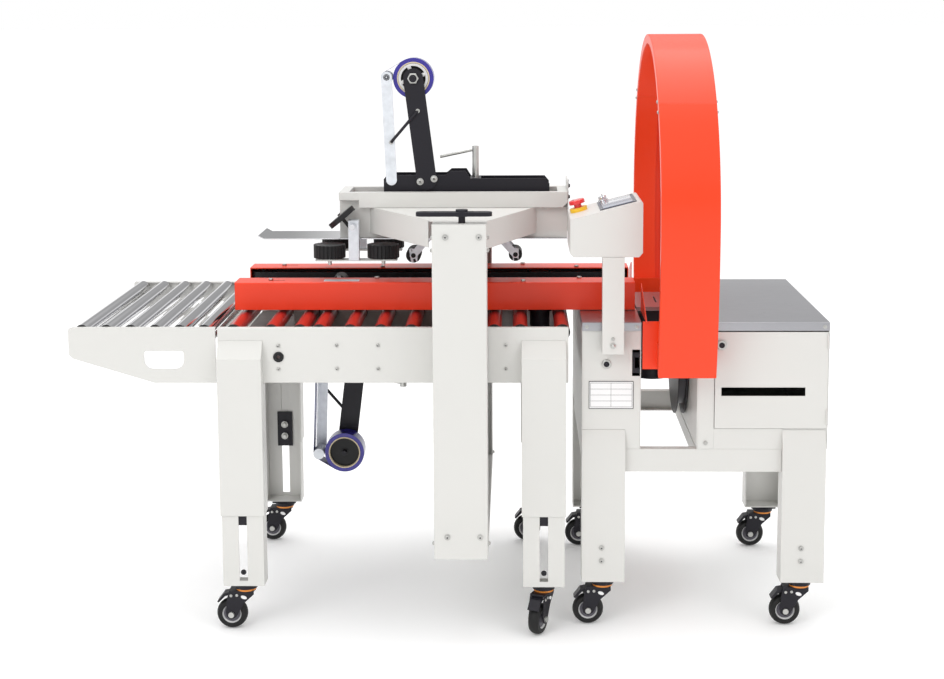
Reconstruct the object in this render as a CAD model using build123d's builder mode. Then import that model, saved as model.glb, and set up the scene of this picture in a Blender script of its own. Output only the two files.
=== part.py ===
from build123d import *
from math import asin, atan2, cos, degrees, radians, sin
import os

# Carton sealer with side belts and two tape heads, coupled to an arch strapping machine.
# Millimetres. +X is the way the carton travels, +Z is up, and the origin is on the floor
# under the middle of the whole machine.

os.makedirs("parts", exist_ok=True)

# ---------------------------------------------------------------- driving dimensions
HALF_LENGTH = 903.5      # from the origin to each end of the machine
DECK_Z = 745             # carton plane: the top of the rollers
TABLE_Z = 749            # top of the strapper's steel table
LEG_FOOT_Z = 115         # underside of every leg, where a castor is bolted on
SHEET = 2.5              # painted sheet steel
GAP = 0.2                # gap that keeps pieces of one node separate solids

ROLLER_R = 18
ROLLER_Z = DECK_Z - ROLLER_R
AXLE_R = 5
BORE_PLAY = 0.05         # radial running clearance

FRAME_X = (-546.7, 286)  # sealer's side plates
PLATE_Y = 340            # outer face of the side plates, either side of the middle
PLATE_T = 3
SEALER_LEG_X = (-492.7, 227.4)
LEG_W = 105
LEG_SLEEVE_Z = 289       # lower end of the outer leg channel

LIFT_PLANE_Z = 1665      # the lower tape head is the upper one turned over about half this height
LOWER_HEAD_SHIFT = -190  # and moved upstream by this much

COLUMN_X = (-30.6, 95.1)
COLUMN_Y = (345, 440)
COLUMN_Z = (208, 999)
SCREW_X, SCREW_Y, SCREW_R = 37.7, -405, 10

BELT_X = (-535, 455)     # belt covers
BELT_Z = (750.5, 819)
BELT_MID_Y = 103.5       # middle of each belt unit
PULLEY_R = 25.4
BELT_T = 3
DRIVE_X = 222

CABINET_Y = 315          # outer face of the strapper's cabinets
CABINET_Z = (441, 728.8)
LEFT_CABINET_X = (319, 459)
RIGHT_CABINET_X = (593, HALF_LENGTH)
STRAPPER_LEG_X = (370.6, 847.6)
STRAPPER_LEG_Y = 330
STRAPPER_LEG_W = 103

ARCH_X = (493, 628)
ARCH_R = 440             # outer radius of the arch's round top
ARCH_Z = 984             # height of its centre
ARCH_SIDE_R = 1430       # outer radius of its nearly straight sides
ARCH_FOOT_Z = 632
ARCH_T = 24

WHEEL_R = 37.5
WHEEL_W = 25
CASTOR_TRAIL = 35


# ---------------------------------------------------------------- shared shapes
def block(x, y, z, mode=Mode.ADD):
    """Add a box to the open part, from its lowest and highest X, Y and Z."""
    with Locations((sum(x) / 2, sum(y) / 2, sum(z) / 2)):
        Box(x[1] - x[0], y[1] - y[0], z[1] - z[0], mode=mode)


def rod(centre, radius, length, turn=(0, 0, 0), mode=Mode.ADD):
    """Add a cylinder along Z to the open part, centred and turned as told."""
    with Locations(Location(centre, turn)):
        Cylinder(radius, length, mode=mode)


ALONG_X = (0, 90, 0)
ALONG_Y = (90, 0, 0)


def plate_xz(outline, y, mode=Mode.ADD):
    """Add an upright plate to the open part, drawn in X and Z, between two values of Y."""
    with BuildSketch(Plane.XZ.offset(-y[0])) as face:
        Polygon(*outline, align=None)
    extrude(face.sketch, amount=y[0] - y[1], mode=mode)


def plate_yz(outline, x, mode=Mode.ADD):
    """Add an upright plate to the open part, drawn in Y and Z, between two values of X."""
    with BuildSketch(Plane.YZ.offset(x[0])) as face:
        Polygon(*outline, align=None)
    extrude(face.sketch, amount=x[1] - x[0], mode=mode)


def screw_head(centre, turn, radius=6.5):
    """Add a washer and a domed screw head to the open part; they point along the turned Z."""
    with BuildPart(mode=Mode.PRIVATE) as head:
        rod((0, 0, 0.75), radius * 1.45, 1.5)
        rod((0, 0, 2.6), radius, 3.2)
        with Locations((0, 0, 5)):
            Cone(radius, radius * 0.6, 1.6)
    with Locations(Location(centre, turn)):
        add(head.part)


TOWARDS_FRONT = (90, 0, 0)
TOWARDS_LEFT = (0, -90, 0)
TOWARDS_RIGHT = (0, 90, 0)


def save(node, name):
    """Name one finished piece and write it to its own file."""
    node.label = name
    export_step(node, f"parts/{name}.step")


# ---------------------------------------------------------------- sealer: frame and legs
GROMMET = (-402, 670.6)
PLATE_SCREWS = [(-402, 697.4), (-402, 641), (-263, 698.6), (-165, 698.6), (-263, 642), (-165, 642),
                (138, 698.6), (138, 642)]

with BuildPart() as frame_side_plates:
    plate_yz([(-PLATE_Y, 607.5), (-310, 607.5), (-310, 610.5), (-337, 610.5), (-337, 738),
              (-327, 738), (-327, 741), (-PLATE_Y, 741)], FRAME_X)
    fillet(frame_side_plates.edges().filter_by(Axis.X).sort_by(Axis.Y)[0:2], radius=2.4)
    rod((GROMMET[0], -PLATE_Y, GROMMET[1]), 9, 20, ALONG_Y, mode=Mode.SUBTRACT)
    mirror(about=Plane.XZ)
save(frame_side_plates.part, "frame_side_plates")

CROSSMEMBER_X = (-530, -400, 78, 268)
with BuildPart() as frame_crossmembers:
    for x in CROSSMEMBER_X:
        block((x - 15, x + 15), (-336.8, 336.8), (612, 657))
        block((x - 12.5, x + 12.5), (-336.8, 336.8), (614.5, 654.5), mode=Mode.SUBTRACT)
    # inner rails that carry the short rollers, standing on the crossmembers
    block((-402, 88), (-60, -57), (657 + GAP, 735))
    block((-402, 88), (57, 60), (657 + GAP, 735))
    # drip pans under the rollers
    block((-534, 280), (-334, -62), (657 + GAP, 659))
    block((-534, 280), (62, 334), (657 + GAP, 659))
save(frame_crossmembers.part, "frame_crossmembers")

SLEEVE_OUT = [(-370, LEG_SLEEVE_Z), (-310, LEG_SLEEVE_Z), (-310, 605), (-340.2, 605),
              (-340.2, 710), (-370, 670)]
SLEEVE_IN = [(-367.5, 280), (-299, 280), (-299, 705.6), (-340.2, 705.6), (-367.5, 669.2)]
with BuildPart() as leg_sleeves:
    for x in SEALER_LEG_X:
        plate_yz(SLEEVE_OUT, (x - LEG_W / 2, x + LEG_W / 2))
        plate_yz(SLEEVE_IN, (x - LEG_W / 2 + SHEET, x + LEG_W / 2 - SHEET), mode=Mode.SUBTRACT)
    mirror(about=Plane.XZ)
save(leg_sleeves.part, "leg_sleeves")

INNER_LEG_Y = (-367.2, -314)
with BuildPart() as leg_extensions:
    for x in SEALER_LEG_X:
        block((x - 49.5, x + 49.5), INNER_LEG_Y, (LEG_FOOT_Z, 560))
        block((x - 47, x + 47), (INNER_LEG_Y[0] + SHEET, -300), (LEG_FOOT_Z + 3, 561),
              mode=Mode.SUBTRACT)
        # slot for the clamp screws that set the leg's height
        block((x - 10, x + 10), (-370, -360), (128, 500), mode=Mode.SUBTRACT)
    mirror(about=Plane.XZ)
save(leg_extensions.part, "leg_extensions")

STRAPPER_LEG_OUT = [(-330, LEG_FOOT_Z), (-272, LEG_FOOT_Z), (-272, 440.8), (-315.2, 440.8),
                    (-315.2, 489), (-330, 449)]
STRAPPER_LEG_IN = [(-327.5, LEG_FOOT_Z + 3), (-260, LEG_FOOT_Z + 3), (-260, 438.3),
                   (-315.2, 438.3), (-315.2, 480.5), (-327.5, 448)]
with BuildPart() as strapper_frame:
    for x in STRAPPER_LEG_X:
        half = STRAPPER_LEG_W / 2
        plate_yz(STRAPPER_LEG_OUT, (x - half, x + half))
        plate_yz(STRAPPER_LEG_IN, (x - half + SHEET, x + half - SHEET), mode=Mode.SUBTRACT)
    block((422.6, 795.6), (-CABINET_Y, -290), (385, 440.8))
    block((425, 793), (-CABINET_Y + SHEET, -287), (387.5, 438.3), mode=Mode.SUBTRACT)
    mirror(about=Plane.XZ)
    # rails from front to back: one under each outer side and one each side of the gap
    for x in ((321.5, 346), (871, 896.5)):
        block(x, (-271.8, 271.8), (400, 440.8))
    for x in ((434, 459), (593, 618)):
        block(x, (-286.8, 286.8), (400, 438))
save(strapper_frame.part, "strapper_frame")

with BuildPart() as screws_and_clamps:
    for x, z in PLATE_SCREWS:
        screw_head((x, -PLATE_Y, z), TOWARDS_FRONT, radius=3.2)
    for x in STRAPPER_LEG_X:
        for z in (168.6, 201):
            screw_head((x - 4, -STRAPPER_LEG_Y, z), TOWARDS_FRONT, radius=4.6)
    for x in SEALER_LEG_X:
        # clamp plate inside the leg, with the nuts of its two screws
        block((x - 21, x + 21), (-364.3, -360), (265, 363))
        for z in (295, 328):
            rod((x, -357, z), 8, 5.6, ALONG_Y)
    # castor mounting plates with their kingpins
    for x, y in [(x, 333) for x in SEALER_LEG_X] + [(x, 294) for x in STRAPPER_LEG_X]:
        block((x - 33, x + 33), (-y - 22, -y + 22), (111, LEG_FOOT_Z - GAP))
        rod((x, -y, 101), 6, 20.4)
        rod((x, -y, 89), 10, 5)
    # nut block of the lead screw, bolted to the side plate
    block((13, 62), (-418, -PLATE_Y - GAP), (630, 672))
    rod((SCREW_X, SCREW_Y, 650), SCREW_R + BORE_PLAY, 60, mode=Mode.SUBTRACT)
    mirror(about=Plane.XZ)
save(screws_and_clamps.part, "screws_and_clamps")

# ---------------------------------------------------------------- infeed roller table
INFEED_ROLLER_X = [-875 + 58.7 * i for i in range(6)]
with BuildPart() as infeed_frame:
    with BuildSketch(Plane.XZ.offset(PLATE_Y)) as side:
        with BuildLine():
            FilletPolyline((-552, 607.5), (-700, 607.5), (-893, 666), (-HALF_LENGTH, 675),
                           (-HALF_LENGTH, 741), (-552, 741), radius=(16, 16, 6, 8))
            Line((-552, 741), (-552, 607.5))
        make_face()
        # hand hole: flat along the top, round at the bottom
        with Locations((-675.5, 663)):
            SlotOverall(95, 43, mode=Mode.SUBTRACT)
        with Locations((-675.5, 673.5)):
            RectangleRounded(95, 22, 6, mode=Mode.SUBTRACT)
    extrude(amount=-PLATE_T)
    block((-895, -552), (-337, -327), (738, 741))
    mirror(about=Plane.XZ)
    # tie tubes between the two plates, and the axle rod of each roller
    for x in (-850, -590):
        rod((x, 0, 690), 11, 2 * (PLATE_Y - PLATE_T) - 2 * GAP, ALONG_Y)
    for x in INFEED_ROLLER_X:
        rod((x, 0, ROLLER_Z), AXLE_R, 2 * (PLATE_Y - PLATE_T) - 2 * GAP, ALONG_Y)
save(infeed_frame.part, "infeed_frame")

for number, x in enumerate(INFEED_ROLLER_X, start=1):
    with BuildPart() as infeed_roller:
        rod((x, 0, ROLLER_Z), ROLLER_R, 644, ALONG_Y)
        rod((x, 0, ROLLER_Z), ROLLER_R - 1, 652, ALONG_Y)
        rod((x, 0, ROLLER_Z), ROLLER_R - 1.8, 620, ALONG_Y, mode=Mode.SUBTRACT)
        rod((x, 0, ROLLER_Z), AXLE_R + BORE_PLAY, 670, ALONG_Y, mode=Mode.SUBTRACT)
    save(infeed_roller.part, f"infeed_roller_{number}")

LONG_ROLLER_X = (-512, -422, 110, 172, 272)
SHORT_ROLLER_X = (-353, -307, -233, -160, -87, -14, 58)
with BuildPart() as deck_rollers:
    for x in LONG_ROLLER_X:
        rod((x, 0, ROLLER_Z), ROLLER_R, 652, ALONG_Y)
        rod((x, 0, ROLLER_Z), AXLE_R, 673.6, ALONG_Y)
    for x in SHORT_ROLLER_X:
        for side in (-1, 1):
            rod((x, side * 195, ROLLER_Z), ROLLER_R, 264, ALONG_Y)
            rod((x, side * 198.5, ROLLER_Z), AXLE_R, 276.6, ALONG_Y)
save(deck_rollers.part, "deck_rollers")

# ---------------------------------------------------------------- lifting gantry
with BuildPart() as gantry_columns:
    block(COLUMN_X, (-COLUMN_Y[1], -COLUMN_Y[0]), COLUMN_Z)
    block((COLUMN_X[0] + SHEET, COLUMN_X[1] - SHEET), (-COLUMN_Y[1] + SHEET, -330),
          (COLUMN_Z[0] + SHEET, COLUMN_Z[1] - SHEET), mode=Mode.SUBTRACT)
    fillet(gantry_columns.edges().filter_by(Axis.Z).group_by(Axis.Y)[0], radius=2.4)
    rod((SCREW_X, SCREW_Y, COLUMN_Z[1]), SCREW_R + 0.1, 20, mode=Mode.SUBTRACT)
    rod((SCREW_X, SCREW_Y, COLUMN_Z[0]), SCREW_R + 0.1, 20, mode=Mode.SUBTRACT)
    for x in (0.5, 77.3):
        for z in (970, 262):
            screw_head((x, -COLUMN_Y[1], z), TOWARDS_FRONT, radius=5)
    for x, way in ((COLUMN_X[0], TOWARDS_LEFT), (COLUMN_X[1], TOWARDS_RIGHT)):
        for z in (965, 935, 236):
            screw_head((x, -405, z), way, radius=4.5)
    mirror(about=Plane.XZ)
save(gantry_columns.part, "gantry_columns")

with BuildPart() as chain_crossbeam:
    block(COLUMN_X, (-COLUMN_Y[0] + GAP, COLUMN_Y[0] - GAP), (COLUMN_Z[0], 245))
    block((COLUMN_X[0] + SHEET, COLUMN_X[1] - SHEET), (-350, 350), (200, 245 - SHEET),
          mode=Mode.SUBTRACT)
save(chain_crossbeam.part, "chain_crossbeam")

ARM_PLAN = [(-205, -60.2), (214, -60.2), (COLUMN_X[1], -COLUMN_Y[0] + GAP),
            (COLUMN_X[0], -COLUMN_Y[0] + GAP)]
ARM_HOLLOW = [(-201, -55), (210, -55), (COLUMN_X[1] - SHEET, -350), (COLUMN_X[0] + SHEET, -350)]
with BuildPart() as head_arms:
    with BuildSketch(Plane.XY.offset(930)) as plan:
        Polygon(*ARM_PLAN, align=None)
    extrude(amount=65.5)
    with BuildSketch(Plane.XY.offset(929)) as hollow:
        Polygon(*ARM_HOLLOW, align=None)
    extrude(amount=63.5, mode=Mode.SUBTRACT)
    mirror(about=Plane.XZ)
save(head_arms.part, "head_arms")

with BuildPart() as head_frame:
    # front and back rails with a raised left end, each above its own side sheet
    plate_xz([(-281, 1034), (-281, 1015), (-231, 1015), (-231, 996), (279, 996), (291, 1008),
              (291, 1034)], (-80, -56))
    plate_xz([(-281, 918), (291, 918), (291, 995.8), (-231.2, 995.8), (-231.2, 1014.8),
              (-281, 1014.8)], (-59.8, -57))
    mirror(about=Plane.XZ)
    block((-281, -257), (-55.8, 55.8), (996, 1034))
    block((267, 291), (-55.8, 55.8), (996, 1034))
    block((291.2, 293.5), (-72, 72), (935, 1060))
    # two guide bars that the press wheels slide on
    rod((-242, -103.5, 955), 7, 87, ALONG_Y)
    rod((-242, 103.5, 955), 7, 87, ALONG_Y)
    # wide entry ski with an upturned tip, then one runner each side of the tape head
    plate_xz([(-472, 915.3), (-282, 915.3), (-282, 917.6), (-472.6, 917.6), (-487, 925.5),
              (-488, 923.4)], (-73, 73))
    for side in (-1, 1):
        block((-281.7, 291), (side * 58 - 13, side * 58 + 13), (915.3, 917.6))
save(head_frame.part, "head_frame")

with BuildPart() as height_crank:
    rod((SCREW_X, SCREW_Y, 600), SCREW_R, 790)
    rod((SCREW_X, SCREW_Y, 1005), 8, 24)
    with BuildSketch(Plane.XY.offset(1015)) as arm:
        with Locations((19.7, SCREW_Y)):
            SlotOverall(176, 28)
        with Locations((19.7, SCREW_Y)):
            SlotOverall(90, 9, mode=Mode.SUBTRACT)
    extrude(amount=10)
    fillet(height_crank.faces().sort_by(Axis.Z)[-1].edges(), radius=2)
    rod((SCREW_X, SCREW_Y, 1022), 14, 16)
save(height_crank.part, "height_crank")

with BuildPart() as lead_screw_back:
    rod((SCREW_X, -SCREW_Y, 600), SCREW_R, 790)
save(lead_screw_back.part, "lead_screw_back")


def press_wheel_set():
    """The front pair of press wheels with their bar, clamp block and star knob."""
    tilt = degrees(atan2(-0.636, 0.771))
    with BuildPart() as wheel_set:
        block((-340, -135), (-102, -78), (864, 868))
        for x in (-305, -170):
            rod((x, -90, 859), 5, 10)
            rod((x, -90, 889), 40, 33)
            for spoke in range(24):
                angle = radians(15 * spoke)
                rod((x + 40 * cos(angle), -90 + 40 * sin(angle), 889), 2.2, 40,
                    mode=Mode.SUBTRACT)
            rod((x, -90, 870), 12, 6)
        block((-255, -229), (-113, -87), (867, 968))
        rod((-242, -100, 955), 7 + BORE_PLAY, 60, ALONG_Y, mode=Mode.SUBTRACT)
        rod((-257, -100, 955), 4.4, 40, (0, tilt, 0))
        rod((-272, -100, 975), 38, 13, (0, tilt, 0))
    return wheel_set.part


with BuildPart() as press_wheels_front:
    add(press_wheel_set())
save(press_wheels_front.part, "press_wheels_front")

with BuildPart() as press_wheels_back:
    add(press_wheel_set().mirror(Plane.XZ))
save(press_wheels_back.part, "press_wheels_back")


# ---------------------------------------------------------------- tape heads
ROLL_HUB = (-94, 1317)       # X and Z of the upper tape roll's hub
IDLER = (-160.7, 1320)
FRONT_PIVOT, FRONT_WIPER = (-30, 950), (-98.6, 868)
REAR_PIVOT, REAR_WIPER = (90, 950), (161, 870)


def bar_between(start, end, width, y, mode=Mode.ADD):
    """Add a round-ended flat bar between two points in X and Z."""
    mid = ((start[0] + end[0]) / 2, (start[1] + end[1]) / 2)
    length = ((end[0] - start[0]) ** 2 + (end[1] - start[1]) ** 2) ** 0.5
    turn = degrees(atan2(end[1] - start[1], end[0] - start[0]))
    with BuildSketch(Plane.XZ.offset(-y[0])) as bar:
        with Locations(Location((mid[0], mid[1], 0), (0, 0, turn))):
            SlotCenterToCenter(length, width)
    extrude(bar.sketch, amount=y[0] - y[1], mode=mode)


def tape_head_plates():
    """Side plates, spacers, roll arm, tension arm and idler roller of the upper tape head."""
    outline = [(-171, 945), (247, 945), (247, 1052), (236, 1065), (48, 1065), (36, 1084),
               (-2, 1084), (-14, 1074), (-162, 1074), (-171, 1064)]
    with BuildPart() as plates:
        plate_xz(outline, (-40, -37))
        plate_xz(outline, (37, 40))
        for x, z in ((-155, 1040), (20, 1066), (225, 1040), (225, 965), (30, 1000)):
            rod((x, 0, z), 6, 74 - 2 * GAP, ALONG_Y)
        for x, z in (FRONT_PIVOT, REAR_PIVOT):
            rod((x, 0, z), 5, 74 - 2 * GAP, ALONG_Y)
        # spacers that hold the plates in the head frame
        for x in (-120, 200):
            for side in (-1, 1):
                rod((x, side * 48.5, 975), 8, 16.6, ALONG_Y)
        # black arm that carries the tape roll, and the roll's fixed shaft and nut
        bar_between((-62, 1062), ROLL_HUB, 50, (-46, -40 - GAP))
        rod((ROLL_HUB[0], -19, ROLL_HUB[1]), 6, 78, ALONG_Y)
        rod((ROLL_HUB[0], -52, ROLL_HUB[1]), 9.5, 6, ALONG_Y)
        for x, z in ((-78.5, 1058), (-43.5, 1065)):
            screw_head((x, -46 - GAP, z), TOWARDS_FRONT, radius=6)
        # plated arm with the idler that guides the tape off the roll
        bar_between((-151, 1062), IDLER, 27, (-44, -41))
        rod((IDLER[0], -9, IDLER[1]), 14.2, 56, ALONG_Y)
        rod((IDLER[0], -46, IDLER[1]), 6, 3.6, ALONG_Y)
        rod((IDLER[0], -39, IDLER[1]), 5, 4, ALONG_Y)
        # guide post with its tie rod, on a bridge between the plates
        block((46, 74), (-36.8, 36.8), (1054, 1064.5))
        rod((60, 0, 1104), 8.5, 80)
        rod((12, 0, 1126), 4, 86, (0, 78, 0))
    return plates.part


def tape_roll():
    """Tape wound on its core, with the hub inside that turns on the fixed shaft."""
    x, z = ROLL_HUB
    with BuildPart() as roll:
        rod((x, -10, z), 51, 48, ALONG_Y)
        rod((x, -10, z), 41, 50, ALONG_Y)
        rod((x, -31, z), 38, 14, ALONG_Y, mode=Mode.SUBTRACT)
        rod((x, 12, z), 38, 14, ALONG_Y, mode=Mode.SUBTRACT)
        rod((x, -29, z), 20, 12, ALONG_Y)
        rod((x, -10, z), 6 + BORE_PLAY, 90, ALONG_Y, mode=Mode.SUBTRACT)
    return roll.part


def wiper(pivot, tip, radius):
    """One pair of wiper arms with their roller."""
    with BuildPart() as arms:
        bar_between(pivot, tip, 18, (-33, -30))
        bar_between(pivot, tip, 18, (30, 33))
        rod((pivot[0], 0, pivot[1]), 9, 60 - 2 * GAP, ALONG_Y)
        for side in (-1, 1):
            rod((pivot[0], side * 31.5, pivot[1]), 9, 3.2, ALONG_Y)
        rod((pivot[0], 0, pivot[1]), 5 + BORE_PLAY, 80, ALONG_Y, mode=Mode.SUBTRACT)
        rod((tip[0], 0, tip[1]), radius, 59, ALONG_Y)
        for side in (-1, 1):
            rod((tip[0], side * 33.4, tip[1]), 6, 0.8, ALONG_Y)
    return arms.part


# The lower head is the upper one turned over about the X axis and set upstream.
TURNED_OVER = Location((LOWER_HEAD_SHIFT, 0, LIFT_PLANE_Z), (180, 0, 0))
HEAD_PIECES = {
    "head_plates": tape_head_plates(),
    "tape_roll": tape_roll(),
    "front_wiper": wiper(FRONT_PIVOT, FRONT_WIPER, 19),
    "rear_wiper": wiper(REAR_PIVOT, REAR_WIPER, 17),
}
for piece, shape in HEAD_PIECES.items():
    with BuildPart() as upper_piece:
        add(shape)
    save(upper_piece.part, f"upper_{piece}")
    with BuildPart() as lower_piece:
        with Locations(TURNED_OVER):
            add(shape)
    save(lower_piece.part, f"lower_{piece}")


# ---------------------------------------------------------------- side belts
def belt_cover():
    """Red cover of the front belt: top, outer wall and both ends, open to the carton side."""
    outer_y = (-157, -81)
    with BuildPart() as cover:
        block(BELT_X, outer_y, BELT_Z)
        block((BELT_X[0] + SHEET, BELT_X[1] - SHEET), (outer_y[0] + SHEET, -70),
              (BELT_Z[0] - 5, BELT_Z[1] - SHEET), mode=Mode.SUBTRACT)
        fillet(cover.edges().filter_by(Axis.X).group_by(Axis.Z)[-1].sort_by(Axis.Y)[0], radius=2.4)
    return cover.part


def belt_unit():
    """Belt loop of the front unit with its two idler drums, slider bed and gear motor."""
    drum_x = (BELT_X[0] + 32, BELT_X[1] - 32)
    with BuildPart() as unit:
        with BuildSketch(Plane.XY.offset(760)) as loop:
            with Locations((sum(drum_x) / 2, -BELT_MID_Y)):
                SlotCenterToCenter(drum_x[1] - drum_x[0], 2 * (PULLEY_R + 0.1 + BELT_T))
                SlotCenterToCenter(drum_x[1] - drum_x[0], 2 * (PULLEY_R + 0.1), mode=Mode.SUBTRACT)
        extrude(loop.sketch, amount=48)
        for x in drum_x:
            rod((x, -BELT_MID_Y, 784), PULLEY_R - 0.2, 46)
            rod((x, -BELT_MID_Y, 786), 6, 56)
        for x in ((drum_x[0] + 30, DRIVE_X - 30), (DRIVE_X + 30, drum_x[1] - 30)):
            block(x, (-BELT_MID_Y - 22, -BELT_MID_Y + 22), (764, 804))
        rod((DRIVE_X, -BELT_MID_Y, 706), 24, 84)
        rod((DRIVE_X, -BELT_MID_Y, 744), 29, 8)
    return unit.part


def drive_drum():
    """Driven drum of the front belt on its shaft."""
    with BuildPart() as drum:
        rod((DRIVE_X, -BELT_MID_Y, 784), PULLEY_R, 46)
        rod((DRIVE_X, -BELT_MID_Y, 755), 6, 13)
    return drum.part


for piece, shape in {"belt_cover": belt_cover(), "side_belt": belt_unit(),
                     "drive_pulley": drive_drum()}.items():
    with BuildPart() as front_piece:
        add(shape)
    save(front_piece.part, f"{piece}_front")
    with BuildPart() as back_piece:
        add(shape.mirror(Plane.XZ))
    save(back_piece.part, f"{piece}_back")

# ---------------------------------------------------------------- strapper: cabinets and table
WALL = 2
LEFT_IN, LEFT_OUT = LEFT_CABINET_X[1], LEFT_CABINET_X[0]
RIGHT_IN, RIGHT_OUT = RIGHT_CABINET_X
DOOR_SEAM_X = 634.5
DOOR_Z = (492, 726)
with BuildPart() as strapper_cabinets:
    for left, right in (LEFT_CABINET_X, RIGHT_CABINET_X):
        block((left, left + WALL), (-CABINET_Y, CABINET_Y), CABINET_Z)
        block((right - WALL, right), (-CABINET_Y, CABINET_Y), CABINET_Z)
        block((left + WALL + GAP, right - WALL - GAP), (CABINET_Y - WALL, CABINET_Y), CABINET_Z)
        block((left + WALL + GAP, right - WALL - GAP),
              (-CABINET_Y + WALL + GAP, CABINET_Y - WALL - GAP), (CABINET_Z[0], 443))
    # front panel of the left cabinet, notched where the strap guide comes out
    plate_xz([(321.2, 441), (456.8, 441), (456.8, 619), (438, 619), (438, 683), (456.8, 683),
              (456.8, CABINET_Z[1]), (321.2, CABINET_Z[1])], (-CABINET_Y, -CABINET_Y + WALL))
    # fixed front strip and sill beside and below the right cabinet's door
    block((595.2, DOOR_SEAM_X - 1), (-CABINET_Y, -CABINET_Y + WALL), CABINET_Z)
    block((DOOR_SEAM_X - 1 + GAP, 901.3), (-CABINET_Y, -CABINET_Y + WALL), (441, DOOR_Z[0] - 1))
save(strapper_cabinets.part, "strapper_cabinets")

with BuildPart() as cabinet_door:
    block((DOOR_SEAM_X, 901), (-317.4, -315.4), DOOR_Z)
    block((650, 848.8), (-325, -300), (571.3, 592), mode=Mode.SUBTRACT)
    rod((649, -319, 695), 8, 3, ALONG_Y)
    for z in (520, 704):
        rod((901, -318.6, z), 2.4, 36)
save(cabinet_door.part, "cabinet_door")

with BuildPart() as strapper_table:
    for x in ((LEFT_OUT, LEFT_IN), (RIGHT_IN, RIGHT_OUT)):
        block(x, (-CABINET_Y - 3, CABINET_Y + 3), (CABINET_Z[1] + GAP, TABLE_Z))
        block((x[0] + 1.5, x[1] - 1.5), (-CABINET_Y - 1.5, CABINET_Y + 1.5),
              (CABINET_Z[1] - 5, TABLE_Z - 1.5), mode=Mode.SUBTRACT)
    fillet(strapper_table.edges().filter_by(Axis.X).group_by(Axis.Z)[-1], radius=1.4)
save(strapper_table.part, "strapper_table")

# ---------------------------------------------------------------- strapper: arch
SEAM = 40.0                      # angle of the seams above the horizontal
SEAM_GAP = 0.05                  # and half the angle left open at each seam
SIDE_CENTRE_Y = ARCH_R - ARCH_SIDE_R
SIDE_ANGLE = degrees(asin((ARCH_Z - ARCH_FOOT_Z) / ARCH_SIDE_R))
GROOVE_HALF_W, GROOVE_DEPTH = 8, 8
TOP_AXIS = Axis((0, 0, ARCH_Z), (1, 0, 0))
SIDE_AXIS = Axis((0, SIDE_CENTRE_Y, ARCH_Z), (-1, 0, 0))

# section of the arch where the round top meets the nearly straight side, seen from above
inner_y, groove_x = ARCH_R - ARCH_T, sum(ARCH_X) / 2
with BuildSketch(Plane.XY.offset(ARCH_Z)) as arch_section:
    with Locations((groove_x, ARCH_R - ARCH_T / 2)):
        RectangleRounded(ARCH_X[1] - ARCH_X[0], ARCH_T, 2)
    with Locations((groove_x, inner_y)):
        Rectangle(2 * GROOVE_HALF_W, 2 * GROOVE_DEPTH, mode=Mode.SUBTRACT)

with BuildPart() as arch_side:
    revolve(arch_section.sketch, axis=TOP_AXIS, revolution_arc=SEAM - SEAM_GAP)
    revolve(arch_section.sketch, axis=SIDE_AXIS, revolution_arc=SIDE_ANGLE)

with BuildPart() as strapping_arch:
    add(arch_side.part)
    revolve(arch_section.sketch.rotate(TOP_AXIS, SEAM), axis=TOP_AXIS,
            revolution_arc=180 - 2 * SEAM)
    add(arch_side.part.mirror(Plane.XZ))
    for side in (-1, 1):
        # foot bracket: a face plate on the cabinets and two webs out to the arch's inside
        block((462, 628), sorted((side * 318.3, side * 321)), (637, 752))
        for x in ((496, 499), (622, 625)):
            plate_yz([(side * 320.5, 640), (side * 372.9, 640), (side * 386.6, 700),
                      (side * 320.5, 700)], x)
        # hand guard between the belt cover and the arch
        plate_yz([(side * 174, 819), (side * 174, 752), (side * 350, 752)], (468, 470.5))
save(strapping_arch.part, "strapping_arch")

# ---------------------------------------------------------------- strapper: works in the gap
REEL = (578, 600)
with BuildPart() as strap_reel:
    for x in (567.5, 588.5):
        rod((x, 0, REEL[1]), 145, 3, ALONG_X)
    rod((REEL[0], 0, REEL[1]), 120, 18.2, ALONG_X)
    rod((REEL[0], 0, REEL[1]), 8 + BORE_PLAY, 40, ALONG_X, mode=Mode.SUBTRACT)
save(strap_reel.part, "strap_reel")

with BuildPart() as sealing_head:
    block((462, 558), (-110, 110), (739.5, TABLE_Z))
    block((515, 519), (-40, 40), (735, 755), mode=Mode.SUBTRACT)
    block((478, 545), (-75, 75), (610, 739.3))
    block((459.2, 477.8), (-60, 60), (640, 700))
    rod((510, 0, 580), 45, 59.6)
    # stub that the reel turns on
    rod((578.9, 0, REEL[1]), 8, 28, ALONG_X)
save(sealing_head.part, "sealing_head")

# ---------------------------------------------------------------- strapper: control box
BOX_SLOPE = degrees(atan2(1042 - 998.6, 458.6 - 289))
with BuildPart() as control_box:
    with BuildSketch(Plane.XZ.offset(350)) as side:
        with BuildLine():
            FilletPolyline((289, 918), (297, 910), (450, 910), (458.6, 920), (458.6, 1042),
                           (289, 998.6), radius=(3, 3, 3, 5), close=False)
            Line((289, 998.6), (289, 918))
        make_face()
    extrude(amount=-200)
    # screen bezel on the sloping lid, and the switch's yellow collar
    with Locations(Location((402.5, -250, 1028.9), (0, -BOX_SLOPE, 0))):
        Box(88, 150, 1.6)
    with Locations(Location((313, -230, 1009.4), (0, -BOX_SLOPE, 0))):
        Cylinder(21, 9.6)
        with Locations((0, 0, 0.5)):
            Cylinder(9 + 2 * BORE_PLAY, 9, mode=Mode.SUBTRACT)
    # post on two spacers
    block((365, 416), (-352, -324), (679, 909.8))
    for z in (700, 715):
        rod((390, -319.6, z), 7, 8.4, ALONG_Y)
    screw_head((390, -352 - GAP, 700), TOWARDS_FRONT, radius=5)
save(control_box.part, "control_box")

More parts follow.
